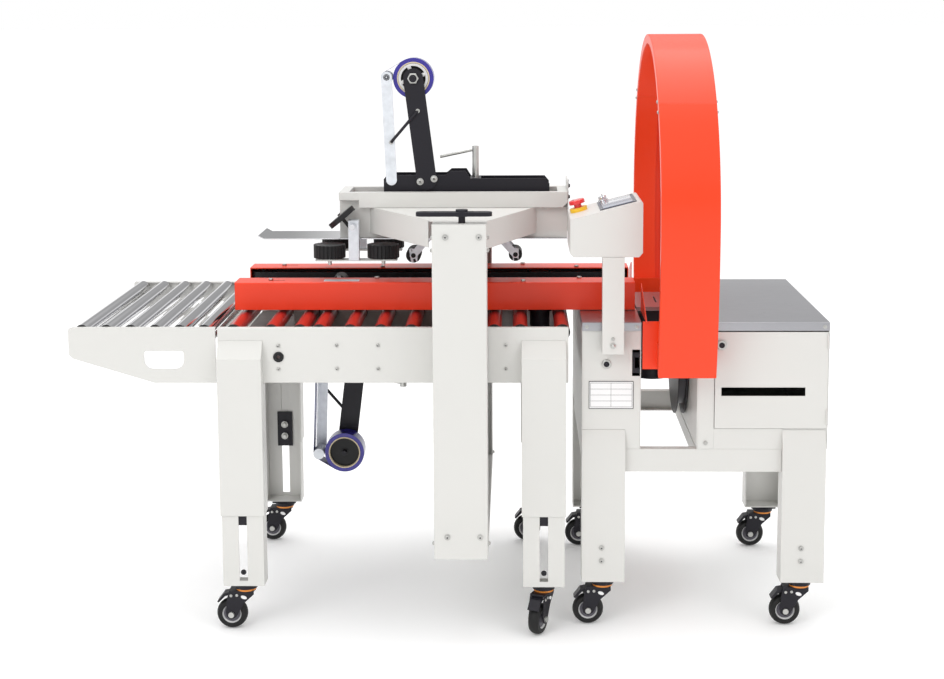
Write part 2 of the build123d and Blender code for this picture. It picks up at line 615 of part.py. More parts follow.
with BuildPart() as estop_button:
    with Locations(Location((313, -230, 1009.4), (0, -BOX_SLOPE, 0))):
        with Locations((0, 0, 7)):
            Cylinder(9, 14.4)
        with Locations((0, 0, 19)):
            Cylinder(19, 10)
    fillet(estop_button.faces().sort_by(Axis.Z)[-1].edges(), radius=4)
save(estop_button.part, "estop_button")

# ---------------------------------------------------------------- castors
# centre X and Y, and the way the wheel trails, in degrees from +X
CASTORS = {
    "infeed_front": (-492.7, -333, 180),
    "infeed_back": (-492.7, 333, 180),
    "middle_front": (227.4, -333, 247),
    "middle_back": (227.4, 333, 180),
    "gap_front": (370.6, -294, 180),
    "gap_back": (370.6, 294, 180),
    "outfeed_front": (847.6, -294, 180),
    "outfeed_back": (847.6, 294, 180),
}
FORK_INNER = WHEEL_W / 2 + 4


def castor_fork():
    """Swivel head, fork and brake pedal, trailing along +X from the kingpin."""
    outline = [(-20, 95), (-20, 88), (4, 66), (23, 32), (35, 25), (47, 32), (49, 44), (44, 82),
               (40, 95)]
    with BuildPart() as fork:
        rod((0, 0, 106.3), 27, 8.6)
        rod((0, 0, 99.4), 24, 5.2)
        block((-20, 40), (-FORK_INNER - SHEET, FORK_INNER + SHEET), (92.5, 97))
        plate_xz(outline, (-FORK_INNER - SHEET, -FORK_INNER))
        plate_xz(outline, (FORK_INNER, FORK_INNER + SHEET))
        rod((CASTOR_TRAIL, 0, WHEEL_R), 4, 2 * FORK_INNER + 2 * SHEET + 6, ALONG_Y)
        for side in (-1, 1):
            rod((CASTOR_TRAIL, side * (FORK_INNER + SHEET + 2.5), WHEEL_R), 7, 5, ALONG_Y)
        plate_xz([(36, 86), (50, 82), (66, 66), (70, 68), (54, 89), (36, 92)], (-14, 14))
        rod((0, 0, 100), 6 + BORE_PLAY, 40, mode=Mode.SUBTRACT)
    return fork.part


def castor_wheel():
    """Rubber tyre on a hub, trailing along +X from the kingpin."""
    with BuildSketch(Plane.XY) as section:
        with BuildLine():
            Polyline((4 + BORE_PLAY, -12.5), (9, -12.5), (11, -9), (20, -9), (23, -12.5), (33, -12.5))
            ThreePointArc((33, -12.5), (WHEEL_R, 0), (33, 12.5))
            Polyline((33, 12.5), (23, 12.5), (20, 9), (11, 9), (9, 12.5), (4 + BORE_PLAY, 12.5))
            Line((4 + BORE_PLAY, 12.5), (4 + BORE_PLAY, -12.5))
        make_face()
    with BuildPart() as wheel:
        revolve(section.sketch, axis=Axis.Y)
    return wheel.part


FORK, WHEEL = castor_fork(), castor_wheel()
for place, (x, y, heading) in CASTORS.items():
    with BuildPart() as fork:
        with Locations(Location((x, y, 0), (0, 0, heading))):
            add(FORK)
    save(fork.part, f"castor_fork_{place}")
    with BuildPart() as wheel:
        axle = (x + CASTOR_TRAIL * cos(radians(heading)), y + CASTOR_TRAIL * sin(radians(heading)),
                WHEEL_R)
        with Locations(Location(axle, (0, 0, heading))):
            add(WHEEL)
    save(wheel.part, f"castor_wheel_{place}")
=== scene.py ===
"""Looks for the carton sealer with its arch strapping unit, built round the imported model."""

import math

import bmesh
import bpy
from mathutils import Matrix, Vector


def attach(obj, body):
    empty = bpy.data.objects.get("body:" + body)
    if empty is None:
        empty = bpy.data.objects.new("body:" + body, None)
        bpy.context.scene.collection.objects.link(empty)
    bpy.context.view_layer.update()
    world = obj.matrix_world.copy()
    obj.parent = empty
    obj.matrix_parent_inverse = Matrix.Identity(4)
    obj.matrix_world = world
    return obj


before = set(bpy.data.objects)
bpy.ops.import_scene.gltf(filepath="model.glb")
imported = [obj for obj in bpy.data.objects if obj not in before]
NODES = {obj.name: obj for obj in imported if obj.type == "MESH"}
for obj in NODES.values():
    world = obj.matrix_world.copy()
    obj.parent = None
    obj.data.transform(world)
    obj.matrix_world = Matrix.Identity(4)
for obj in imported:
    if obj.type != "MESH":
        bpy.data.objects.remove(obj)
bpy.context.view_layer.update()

Y = 1  # index of the axis that runs across the machine, away from the operator
EDGE_SOFTNESS = 0.001  # radius of the softened edges in every material, in metres


# ------------------------------------------------------------------ materials
def shader(name, colour, rough, metal=0.0, coat=0.0, vary=0.05, patch=4.0, grain=400.0,
           bump=0.1, edge=None, wear=0.35, stretch=(1, 1, 1), spread=0.06, shine=0.5):
    """A material with tonal patches, fine grain, softened edges and wear along them."""
    mat = bpy.data.materials.new(name)
    mat.use_nodes = True
    tree = mat.node_tree
    make, link = tree.nodes.new, tree.links.new
    bsdf = tree.nodes["Principled BSDF"]
    bsdf.inputs["Metallic"].default_value = metal
    bsdf.inputs["Coat Weight"].default_value = coat
    bsdf.inputs["Coat Roughness"].default_value = 0.12
    bsdf.inputs["Specular IOR Level"].default_value = shine

    coords = make("ShaderNodeTexCoord")
    mapping = make("ShaderNodeMapping")
    mapping.inputs["Scale"].default_value = stretch
    link(coords.outputs["Object"], mapping.inputs["Vector"])
    patches = make("ShaderNodeTexNoise")
    patches.inputs["Scale"].default_value = patch
    patches.inputs["Detail"].default_value = 4
    link(coords.outputs["Object"], patches.inputs["Vector"])
    fine = make("ShaderNodeTexNoise")
    fine.inputs["Scale"].default_value = grain
    fine.inputs["Detail"].default_value = 3
    link(mapping.outputs["Vector"], fine.inputs["Vector"])

    tone = make("ShaderNodeMix")
    tone.data_type = "RGBA"
    tone.inputs["A"].default_value = [min(1, c * (1 - vary)) for c in colour] + [1]
    tone.inputs["B"].default_value = [min(1, c * (1 + vary)) for c in colour] + [1]
    link(patches.outputs["Fac"], tone.inputs["Factor"])

    rounded = make("ShaderNodeBevel")
    rounded.samples = 4
    rounded.inputs["Radius"].default_value = EDGE_SOFTNESS
    geometry = make("ShaderNodeNewGeometry")
    dot = make("ShaderNodeVectorMath")
    dot.operation = "DOT_PRODUCT"
    link(rounded.outputs["Normal"], dot.inputs[0])
    link(geometry.outputs["Normal"], dot.inputs[1])
    edges = make("ShaderNodeMapRange")
    edges.inputs["From Min"].default_value = 0.97
    edges.inputs["From Max"].default_value = 0.80
    edges.inputs["To Max"].default_value = wear
    link(dot.outputs["Value"], edges.inputs["Value"])
    worn = make("ShaderNodeMath")
    worn.operation = "MULTIPLY"
    link(edges.outputs["Result"], worn.inputs[0])
    link(fine.outputs["Fac"], worn.inputs[1])
    edged = make("ShaderNodeMix")
    edged.data_type = "RGBA"
    edged.inputs["B"].default_value = list(edge or [min(1, c * 1.25) for c in colour]) + [1]
    link(worn.outputs["Value"], edged.inputs["Factor"])
    link(tone.outputs["Result"], edged.inputs["A"])
    link(edged.outputs["Result"], bsdf.inputs["Base Color"])

    gloss = make("ShaderNodeMapRange")
    gloss.inputs["To Min"].default_value = max(0.02, rough - spread)
    gloss.inputs["To Max"].default_value = min(1.0, rough + spread)
    link(fine.outputs["Fac"], gloss.inputs["Value"])
    link(gloss.outputs["Result"], bsdf.inputs["Roughness"])
    relief = make("ShaderNodeBump")
    relief.inputs["Strength"].default_value = bump
    relief.inputs["Distance"].default_value = 0.0004
    link(fine.outputs["Fac"], relief.inputs["Height"])
    link(rounded.outputs["Normal"], relief.inputs["Normal"])
    link(relief.outputs["Normal"], bsdf.inputs["Normal"])
    return mat


WHITE = shader("white_powder_coat", (0.625, 0.62, 0.595), 0.45, coat=0.1, vary=0.02, grain=900,
               edge=(0.50, 0.48, 0.45))
RED = shader("red_powder_coat", (0.84, 0.046, 0.010), 0.32, coat=0.12, vary=0.05, patch=3,
             grain=700, bump=0.06, edge=(0.95, 0.3, 0.14), shine=0.4)
ARCH_RED = shader("arch_red", (0.83, 0.046, 0.006), 0.36, coat=0.12, vary=0.07, patch=2.2,
                  grain=120, bump=0.05, edge=(0.98, 0.30, 0.12), shine=0.35)
ROLLER_RED = shader("roller_red", (0.42, 0.020, 0.014), 0.3, coat=0.4, vary=0.1, patch=14,
                    stretch=(1, 0.05, 1), edge=(0.8, 0.3, 0.2))
BLACK_PAINT = shader("black_satin", (0.010, 0.009, 0.014), 0.42, coat=0.03, vary=0.15, grain=800,
                     edge=(0.16, 0.16, 0.17), wear=0.7, shine=0.28)
BLACK_PLASTIC = shader("black_plastic", (0.010, 0.010, 0.011), 0.45, vary=0.2, grain=1500,
                       bump=0.2, edge=(0.09, 0.09, 0.09), shine=0.3)
TYRE = shader("tyre_rubber", (0.010, 0.010, 0.010), 0.55, vary=0.25, grain=900, bump=0.3,
              edge=(0.07, 0.07, 0.07), shine=0.3)
BELT = shader("belt_rubber", (0.012, 0.012, 0.014), 0.5, vary=0.3, grain=600, bump=0.5,
              stretch=(0.2, 1, 3), shine=0.3)
ZINC = shader("zinc_plate", (0.50, 0.50, 0.48), 0.30, metal=1, vary=0.16, patch=30, grain=500,
              edge=(0.8, 0.8, 0.78))
GALVANISED = shader("galvanised", (0.70, 0.73, 0.77), 0.42, metal=0.55, vary=0.2, patch=55,
                    grain=160, spread=0.14, edge=(0.8, 0.8, 0.8))
# the drip pans' dark grey-brown is painted shade for the recess under the deck rollers
SHADED_PAN = shader("drip_pan_painted_shade", (0.20, 0.185, 0.18), 0.5, metal=0.5, vary=0.2, patch=18, grain=220,
             spread=0.12)
CHROME = shader("chrome", (0.66, 0.66, 0.68), 0.06, metal=1, vary=0.03, grain=300, bump=0.02,
                spread=0.03, stretch=(1, 0.05, 1))
STAINLESS = shader("brushed_stainless", (0.38, 0.38, 0.40), 0.33, metal=1, vary=0.1, patch=5,
                   grain=700, bump=0.12, stretch=(0.04, 1, 1), spread=0.12,
                   edge=(0.7, 0.7, 0.7))
TAPE = shader("blue_tape", (0.022, 0.014, 0.25), 0.25, coat=0.25, vary=0.3, patch=120, grain=500,
              bump=0.15, edge=(0.2, 0.2, 0.7))
CORE = shader("paper_core", (0.62, 0.52, 0.36), 0.7, vary=0.12, grain=1200, bump=0.3)
STOP_RED = shader("stop_red", (0.75, 0.012, 0.014), 0.2, coat=0.7, vary=0.04, grain=500,
                  bump=0.03)
YELLOW = shader("switch_yellow", (0.92, 0.55, 0.02), 0.35, coat=0.3, vary=0.04, grain=600)
ORANGE = shader("castor_orange", (0.78, 0.26, 0.03), 0.4, vary=0.1, grain=600)
HUB_GREY = shader("hub_grey", (0.62, 0.62, 0.62), 0.4, vary=0.06, grain=900, bump=0.1)
HUB_DARK = shader("hub_dark", (0.085, 0.08, 0.10), 0.45, vary=0.12, grain=900, bump=0.15)
SCREEN = shader("screen", (0.42, 0.45, 0.53), 0.12, coat=0.9, vary=0.12, patch=9, grain=200,
                bump=0.0)
BEZEL = shader("bezel", (0.06, 0.065, 0.10), 0.3, coat=0.3, vary=0.1, grain=700)
LABEL = shader("label", (0.80, 0.80, 0.80), 0.35, vary=0.02, grain=400, bump=0.03)
INK = shader("label_lines", (0.05, 0.05, 0.05), 0.5, vary=0.1, grain=400)
REEL_GREY = shader("reel", (0.03, 0.03, 0.034), 0.45, vary=0.15, grain=600)
STRAP = shader("strap", (0.07, 0.07, 0.08), 0.35, vary=0.1, grain=500, stretch=(8, 0.3, 0.3))


# ------------------------------------------------------------------ CAD nodes
def soften_shading(obj, degrees=32):
    """Smooth shading that stays crisp over an angle, on a mesh whose corners are welded."""
    weld = obj.modifiers.new("weld", "WELD")
    weld.merge_threshold = 0.00001
    for polygon in obj.data.polygons:
        polygon.use_smooth = True
    obj.data.update()
    edge_split = obj.modifiers.new("crisp_edges", "EDGE_SPLIT")
    edge_split.split_angle = math.radians(degrees)


def paint(node, base, *rules):
    """Give a CAD node its material; each rule is (material, test of a face's centre and normal)."""
    obj = NODES[node]
    mesh = obj.data
    mesh.materials.clear()
    mesh.materials.append(base)
    for material, _ in rules:
        mesh.materials.append(material)
    for polygon in mesh.polygons:
        polygon.material_index = 0
        for index, (_, test) in enumerate(rules, start=1):
            if test(polygon.center, polygon.normal):
                polygon.material_index = index
                break
    soften_shading(obj)


def away(point, centre, axis):
    """Distance of a point from a line through centre, along X, Y or Z."""
    offset = [point[i] - centre[i] for i in range(3) if i != axis]
    return math.hypot(*offset)


# coordinates are metres: X along the carton's travel, Y away from the operator, Z up
for node in ("frame_side_plates", "leg_sleeves", "leg_extensions", "strapper_frame",
             "chain_crossbeam", "head_arms"):
    paint(node, WHITE)
paint("frame_crossmembers", WHITE,
      # the deck's drip pans take the painted-shade colour
      (SHADED_PAN, lambda c, n: 0.6570 < c.z < 0.6592),
      (ZINC, lambda c, n: abs(c.y) < 0.0605 and c.z > 0.657))
paint("screws_and_clamps", ZINC,
      (BLACK_PAINT, lambda c, n: 0.264 < c.z < 0.364 and abs(c.y) > 0.3599),
      (BLACK_PAINT, lambda c, n: c.z < 0.1155))
paint("infeed_frame", WHITE, (ZINC, lambda c, n: abs(c.y) < 0.3369 and c.z < 0.7375))
for number in range(1, 7):
    paint(f"infeed_roller_{number}", CHROME, (BLACK_PLASTIC, lambda c, n: abs(c.y) > 0.3219))
paint("deck_rollers", ROLLER_RED,
      (ZINC, lambda c, n: abs(c.y) > 0.3262 or abs(c.y) < 0.0628),
      (BLACK_PLASTIC, lambda c, n: abs(n.y) > 0.9))
COLUMN_X = (-0.03065, 0.09515)
COLUMN_FACE_Y = 0.440
paint("gantry_columns", WHITE,
      (ZINC, lambda c, n: abs(c.y) > COLUMN_FACE_Y + 0.00003
       or not COLUMN_X[0] < c.x < COLUMN_X[1]))
paint("head_frame", WHITE,
      (CHROME, lambda c, n: c.z < 0.9260 and (c.z < 0.9179 or c.x < -0.2815)),
      (CHROME, lambda c, n: 0.947 < c.z < 0.963 and -0.2495 < c.x < -0.2345
       and abs(c.y) > 0.0599))
paint("height_crank", ZINC, (BLACK_PAINT, lambda c, n: c.z > 0.9951))
paint("lead_screw_back", ZINC)
for side in ("front", "back"):
    paint(f"press_wheels_{side}", BLACK_PLASTIC,
          (ZINC, lambda c, n: c.z < 0.8685),
          (GALVANISED, lambda c, n: -0.2555 < c.x < -0.2285 and c.z < 0.9685))


# the lower tape head is the upper one, turned over and moved back along the machine
HEAD_STEP_X = 0.190
HEAD_SUM_Z = 1.665


def turned_over(point):
    """The place on the lower tape head of a point on the upper one."""
    return (point[0] - HEAD_STEP_X, -point[1], HEAD_SUM_Z - point[2])


def turned_back(point):
    """The place on the upper tape head of a point on the lower one."""
    return (point[0] + HEAD_STEP_X, -point[1], HEAD_SUM_Z - point[2])


def as_is(point):
    """A point of the upper tape head, left where it is."""
    return tuple(point)


HUB = (-0.094, 0.0, 1.317)
IDLER = (-0.1607, 0.0, 1.320)
TENSION_ARM_X = -0.13
WIPER_ROLLERS = {"front": ((-0.0986, 0, 0.868), 0.019), "rear": ((0.161, 0, 0.870), 0.017)}
WIPER_ROLLER_HALF = 0.0299
for level, place, place_back in (("upper", as_is, as_is), ("lower", turned_over, turned_back)):
    hub = place(HUB)

    def on_tension_arm(c, n, place_back=place_back):
        """True on the plated arm beside the tape roll and on the idler at its end."""
        p = place_back(c)
        idler = -0.0481 < p[1] < 0.02 and p[2] > 1.0745
        arm = -0.0442 < p[1] < -0.0408
        return p[0] < TENSION_ARM_X and (idler or arm)

    def on_plating(c, n, place_back=place_back):
        """True on the guide post, the roll arm's screws and the spacers outside the plates."""
        p = place_back(c)
        post = p[2] > 1.0646 and -0.04 < p[0] < 0.07 and abs(p[1]) < 0.012
        screw_heads = p[1] < -0.0462 and p[2] < 1.09
        spacers = abs(p[1]) > 0.0402 and p[2] < 0.99
        return post or screw_heads or spacers

    paint(f"{level}_head_plates", BLACK_PAINT, (GALVANISED, on_tension_arm), (ZINC, on_plating))
    paint(f"{level}_tape_roll", TAPE,
          (BLACK_PLASTIC, lambda c, n, hub=hub: away(c, hub, Y) < 0.0375),
          (CORE, lambda c, n, hub=hub: away(c, hub, Y) < 0.0412))
    for arm, (upper_tip, radius) in WIPER_ROLLERS.items():
        tip = place(upper_tip)
        paint(f"{level}_{arm}_wiper", GALVANISED,
              (BLACK_PLASTIC, lambda c, n, tip=tip, radius=radius:
               away(c, tip, Y) > radius * 0.55 and away(c, tip, Y) < radius + 0.0005
               and abs(c.y) < WIPER_ROLLER_HALF),
              (BLACK_PLASTIC, lambda c, n, tip=tip: away(c, tip, Y) < 0.0062))

SLIDER_BED_X = (-0.473, 0.393)
SLIDER_BED_Y = 0.1035
for side, sign in (("front", -1), ("back", 1)):
    paint(f"belt_cover_{side}", RED)
    paint(f"side_belt_{side}", BELT,
          (ZINC, lambda c, n, sign=sign: 0.763 < c.z < 0.807
           and abs(c.y - sign * SLIDER_BED_Y) < 0.0222
           and SLIDER_BED_X[0] < c.x < SLIDER_BED_X[1]),
          (BLACK_PAINT, lambda c, n: c.z < 0.7505))
    paint(f"drive_pulley_{side}", ZINC)

paint("strapper_table", STAINLESS)
paint("strapper_cabinets", WHITE)
DOOR_LOCK = (0.649, -0.3206, 0.695)
paint("cabinet_door", WHITE,
      (ZINC, lambda c, n: away(c, DOOR_LOCK, Y) < 0.0082),
      (ZINC, lambda c, n: c.x > 0.9011))
paint("strapping_arch", ARCH_RED, (RED, lambda c, n: c.x < 0.4710))
paint("strap_reel", REEL_GREY, (STRAP, lambda c, n: 0.5691 < c.x < 0.5869))
paint("sealing_head", BLACK_PAINT,
      (STAINLESS, lambda c, n: c.z > 0.7394),
      (ZINC, lambda c, n: c.x > 0.5655))

# the control box's lid rises from its left edge to its right edge
LID_LEFT_X, LID_LEFT_Z = 0.289, 0.9986
LID_RIGHT_X, LID_RIGHT_Z = 0.4586, 1.042
LID_SLOPE = math.atan2(LID_RIGHT_Z - LID_LEFT_Z, LID_RIGHT_X - LID_LEFT_X)


def above_lid(c):
    """Height of a point over the control box's sloping lid."""
    return (c.z - LID_LEFT_Z) * math.cos(LID_SLOPE) - (c.x - LID_LEFT_X) * math.sin(LID_SLOPE)


POST_SCREW_Y = -0.3521
paint("control_box", WHITE,
      (YELLOW, lambda c, n: above_lid(c) > 0.0003 and c.x < 0.340),
      (BEZEL, lambda c, n: above_lid(c) > 0.0003 and c.x > 0.350),
      (ZINC, lambda c, n: c.y < POST_SCREW_Y))
paint("estop_button", STOP_RED)

LEG_X = (-0.4927, 0.2274)  # the infeed legs and the middle legs
# each castor's kingpin in X and Y, and the heading of its wheel in degrees
CASTORS = {"infeed_front": (LEG_X[0], -0.333, 180), "infeed_back": (LEG_X[0], 0.333, 180),
           "middle_front": (LEG_X[1], -0.333, 247), "middle_back": (LEG_X[1], 0.333, 180),
           "gap_front": (0.3706, -0.294, 180), "gap_back": (0.3706, 0.294, 180),
           "outfeed_front": (0.8476, -0.294, 180), "outfeed_back": (0.8476, 0.294, 180)}
TRAIL, AXLE_Z = 0.035, 0.0375


def castor_axes(castor):
    """A castor's kingpin at the floor, the way its wheel trails and the way its axle runs."""
    x, y, heading = CASTORS[castor]
    angle = math.radians(heading)
    trail = Vector((math.cos(angle), math.sin(angle), 0))
    axle = Vector((-math.sin(angle), math.cos(angle), 0))
    return Vector((x, y, 0)), trail, axle


for castor in CASTORS:
    kingpin, trail, spin = castor_axes(castor)
    hub = kingpin + trail * TRAIL + Vector((0, 0, AXLE_Z))

    def from_axle(c, hub=hub, spin=spin):
        """Distance of a point from the axle's line."""
        offset = Vector(c) - hub
        return (offset - spin * offset.dot(spin)).length

    paint(f"castor_fork_{castor}", BLACK_PAINT,
          (ORANGE, lambda c, n: 0.0972 < c.z < 0.1022 and abs(n.z) < 0.9),
          (ZINC, lambda c, n, f=from_axle: f(c) < 0.0072 and c.z < 0.05))
    paint(f"castor_wheel_{castor}", TYRE,
          (HUB_DARK, lambda c, n, f=from_axle: f(c) < 0.0195),
          (HUB_GREY, lambda c, n, f=from_axle: f(c) < 0.0242))


# ------------------------------------------------------------------ small pieces
def finish_piece(name, bm, material, body, smooth_angle=35):
    """Turn a bmesh into a named piece on a body."""
    mesh = bpy.data.meshes.new(name)
    bmesh.ops.recalc_face_normals(bm, faces=bm.faces)
    bm.to_mesh(mesh)
    bm.free()
    obj = bpy.data.objects.new(name, mesh)
    bpy.context.scene.collection.objects.link(obj)
    mesh.materials.append(material)
    for polygon in mesh.polygons:
        polygon.use_smooth = True
    crisp = obj.modifiers.new("crisp_edges", "EDGE_SPLIT")
    crisp.split_angle = math.radians(smooth_angle)
    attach(obj, body)
    return obj


def axis_matrix(at, towards):
    """Placement whose Z points along towards."""
    turn = Vector(towards).to_track_quat("Z", "Y").to_matrix().to_4x4()
    return Matrix.Translation(Vector(at)) @ turn


def lathe_into(bm, profile, at, towards, steps=40):
    """Add a closed turned shape; profile is (radius, height) from one end of the axis to the other."""
    place = axis_matrix(at, towards)
    rings = []
    for radius, height in profile:
        if radius < 1e-6:
            rings.append([bm.verts.new(place @ Vector((0, 0, height)))])
        else:
            turns = [2 * math.pi * k / steps for k in range(steps)]
            rings.append([bm.verts.new(place @ Vector((radius * math.cos(turn),
                                                       radius * math.sin(turn), height)))
                          for turn in turns])
    for low, high in zip(rings, rings[1:]):
        for k in range(steps):
            nxt = (k + 1) % steps
            corners = [low[k % len(low)], low[nxt % len(low)], high[nxt % len(high)],
                       high[k % len(high)]]
            corners = list(dict.fromkeys(corners))
            if len(corners) > 2:
                bm.faces.new(corners)
    return bm


def slab_into(bm, low, high, chamfer=0.0):
    """Add a box with chamfered edges."""
    made = bmesh.ops.create_cube(bm, size=1)["verts"]
    size, mid = Vector(high) - Vector(low), (Vector(high) + Vector(low)) / 2
    bmesh.ops.scale(bm, vec=size, verts=made)
    bmesh.ops.translate(bm, vec=mid, verts=made)
    if chamfer:
        edges = list({e for v in made for e in v.link_edges})
        bmesh.ops.bevel(bm, geom=edges, offset=chamfer, segments=2, profile=0.6, affect="EDGES")
    return bm


SCREW = [(0, 0), (1.5, 0), (1.5, 0.22), (1, 0.25), (1, 0.75), (0.82, 0.98), (0.5, 1.0),
         (0.45, 0.55), (0, 0.55)]


def screws(name, places, towards, radius, body, material=ZINC):
    """A group of socket screws with washers, one solid each."""
    bm = bmesh.new()
    for at in places:
        lathe_into(bm, [(r * radius, h * radius) for r, h in SCREW], at, towards, steps=24)
    return finish_piece(name, bm, material, body)


def nuts(name, places, towards, radius, bore, height, body, material=ZINC):
    """A group of hexagon nuts."""
    bm = bmesh.new()
    for at in places:
        profile = [(bore, 0), (radius * 0.93, 0), (radius, height * 0.15),
                   (radius, height * 0.85), (radius * 0.93, height), (bore, height), (bore, 0)]
        lathe_into(bm, profile, at, towards, steps=6)
    return finish_piece(name, bm, material, body, smooth_angle=25)


def rod_piece(name, start, end, radius, material, body):
    """A round rod with rounded ends."""
    start, end = Vector(start), Vector(end)
    length = (end - start).length
    soft = radius * 0.4
    profile = [(0, 0), (radius - soft, 0), (radius, soft), (radius, length - soft),
               (radius - soft, length), (0, length)]
    bm = lathe_into(bmesh.new(), profile, start, end - start, steps=24)
    return finish_piece(name, bm, material, body)


def ribbon(name, path, y, thickness, material, body):
    """A thin band of constant width along a path of X and Z."""
    bm = bmesh.new()
    points = [Vector((px, 0, pz)) for px, pz in path]
    rows = []
    for k, p in enumerate(points):
        run = points[min(k + 1, len(points) - 1)] - points[max(k - 1, 0)]
        out = Vector((-run.z, 0, run.x)).normalized() * thickness
        rows.append([bm.verts.new(Vector((q.x, wy, q.z))) for q in (p, p + out) for wy in y])
    for a, b in zip(rows, rows[1:]):
        for i, j in ((0, 1), (1, 3), (3, 2), (2, 0)):
            bm.faces.new([a[i], a[j], b[j], b[i]])
    for row in (rows[0], rows[-1]):
        bm.faces.new([row[0], row[1], row[3], row[2]])
    return finish_piece(name, bm, material, body, smooth_angle=60)


# tape webs, roll details and brake rods of both heads
def web_path():
    """From the roll, over and round the idler, down into the head."""
    hub, roll_radius = (HUB[0], HUB[2]), 0.0512
    idler, idler_radius = (IDLER[0], IDLER[2]), 0.0145
    away_x, away_z = idler[0] - hub[0], idler[1] - hub[1]
    lean = math.acos((roll_radius - idler_radius) / math.hypot(away_x, away_z))
    tangent = math.atan2(away_z, away_x) - lean
    leaves_idler, steps = math.radians(184), 12
    path = [(hub[0] + roll_radius * math.cos(tangent), hub[1] + roll_radius * math.sin(tangent))]
    for k in range(steps + 1):
        turn = tangent + (leaves_idler - tangent) * k / steps
        path.append((idler[0] + idler_radius * math.cos(turn),
                     idler[1] + idler_radius * math.sin(turn)))
    enters_head = [(-0.170, 1.20), (-0.166, 1.078)]
    return path + enters_head


# the brake rod's two ends, as X and Z on the upper head
BRAKE_TOP = (-0.083, 1.236)
BRAKE_FOOT = (-0.151, 1.157)


for level, place, body, roll in (("upper", as_is, "gantry", "upper_roll"),
                                 ("lower", turned_over, "root", "lower_roll")):
    sign = 1 if level == "upper" else -1
    web = [place((px, 0, pz)) for px, pz in web_path()]
    web_edges = sorted((-0.034 * sign, 0.014 * sign))
    ribbon(f"{level}_tape_web", [(p[0], p[2]) for p in web], web_edges, 0.0003 * sign, TAPE,
           body)
    facing = Vector((0, -sign, 0))
    nuts(f"{level}_roll_nut", [place((HUB[0], -0.0472, HUB[2]))], facing, 0.0145, 0.0096, 0.007,
         body)
    rod_piece(f"{level}_brake_rod", place((BRAKE_TOP[0], -0.0495, BRAKE_TOP[1])),
              place((BRAKE_FOOT[0], -0.0495, BRAKE_FOOT[1])), 0.0038, BLACK_PAINT, body)
    screws(f"{level}_brake_screws", [place((BRAKE_TOP[0], -0.0463, BRAKE_TOP[1])),
                                     place((BRAKE_FOOT[0], -0.0445, BRAKE_FOOT[1]))],
           facing, 0.0036, body)
    screws(f"{level}_idler_bolt", [place((IDLER[0], -0.0446, IDLER[2]))], facing, 0.0052, body,
           BLACK_PAINT)
    # spokes of the hub, in the recess of the roll
    bm = bmesh.new()
    centre = Vector(place((HUB[0], -0.0335, HUB[2])))
    lathe_into(bm, [(0.031, 0), (0.0372, 0), (0.0372, 0.004), (0.031, 0.004), (0.031, 0)],
               centre, facing, steps=48)
    for k in range(4):
        angle = math.radians(90 * k + 20)
        across = Vector((math.cos(angle), 0, math.sin(angle)))
        lathe_into(bm, [(0, 0.0), (0.005, 0.0), (0.005, 0.0165), (0, 0.0165)],
                   centre + facing * 0.002 + across * 0.0155, across, steps=12)
    finish_piece(f"{level}_roll_spokes", bm, HUB_GREY, roll)

# on the top of each belt cover: nuts, a black slab that is painted shade for a slot and, in front, a
# blank metal plate
COVER_TOP = 0.819
COVER_NUTS = ((-0.187, 0.091), (0.320, 0.091), (-0.450, 0.120), (0.180, 0.140))
for side, sign in (("front", -1), ("back", 1)):
    nuts(f"belt_cover_nuts_{side}", [(bx, sign * by, COVER_TOP + 0.0001) for bx, by in COVER_NUTS],
         (0, 0, 1), 0.0062, 0.0001, 0.0045, f"belt_{side}")
    slot_y = sorted((sign * 0.1255, sign * 0.1275))
    # the slot is a thin black slab of painted shade lying on the cover's top
    bm = slab_into(bmesh.new(), (-0.452, slot_y[0], COVER_TOP - 0.0002),
                   (-0.414, slot_y[1], COVER_TOP + 0.0003))
    finish_piece(f"belt_cover_slot_shade_{side}", bm, BLACK_PAINT, f"belt_{side}")
    if side == "front":
        bm = slab_into(bmesh.new(), (-0.316, -0.138, COVER_TOP - 0.0001),
                       (-0.228, -0.112, COVER_TOP + 0.0007), 0.0002)
        finish_piece("belt_cover_plate", bm, GALVANISED, "belt_front")

# dark hexagons of painted shade that stand for the socket in each head of the CAD's screws
HEAD_HEIGHT = 0.0058


def socket_shades(name, places, towards, head_radius, body):
    """Black hexagons of painted shade for screw-head socket recesses, standing just proud of the tops
    of screw heads.
    """
    bm = bmesh.new()
    size = head_radius * 0.42
    low, high = HEAD_HEIGHT - 0.0003, HEAD_HEIGHT + 0.0001
    for at in places:
        lathe_into(bm, [(0, low), (size, low), (size, high), (0, high)], at, towards, steps=6)
    return finish_piece(name, bm, BLACK_PAINT, body, smooth_angle=20)


ARM_BOLTS = ((-0.0785, -0.0461, 1.058), (-0.0435, -0.0461, 1.065))
# painted shade for the socket recess on the screw heads of the arms, plates, legs and columns
socket_shades("upper_arm_sockets", ARM_BOLTS, (0, -1, 0), 0.006, "gantry")
socket_shades("lower_arm_sockets", [turned_over(at) for at in ARM_BOLTS], (0, 1, 0), 0.006, "root")
SIDE_PLATE_Y = 0.340
PLATE_SCREWS = ((-0.402, 0.6974), (-0.402, 0.641), (-0.263, 0.6986), (-0.165, 0.6986),
                (-0.263, 0.642), (-0.165, 0.642), (0.138, 0.6986), (0.138, 0.642))
socket_shades("plate_sockets", [(px, -SIDE_PLATE_Y, pz) for px, pz in PLATE_SCREWS],
        (0, -1, 0), 0.0036, "root")
STRAPPER_LEG_Y = 0.330
socket_shades("leg_sockets", [(lx, -STRAPPER_LEG_Y, lz) for lx in (0.3666, 0.8436)
                        for lz in (0.1686, 0.201)],
        (0, -1, 0), 0.0046, "root")
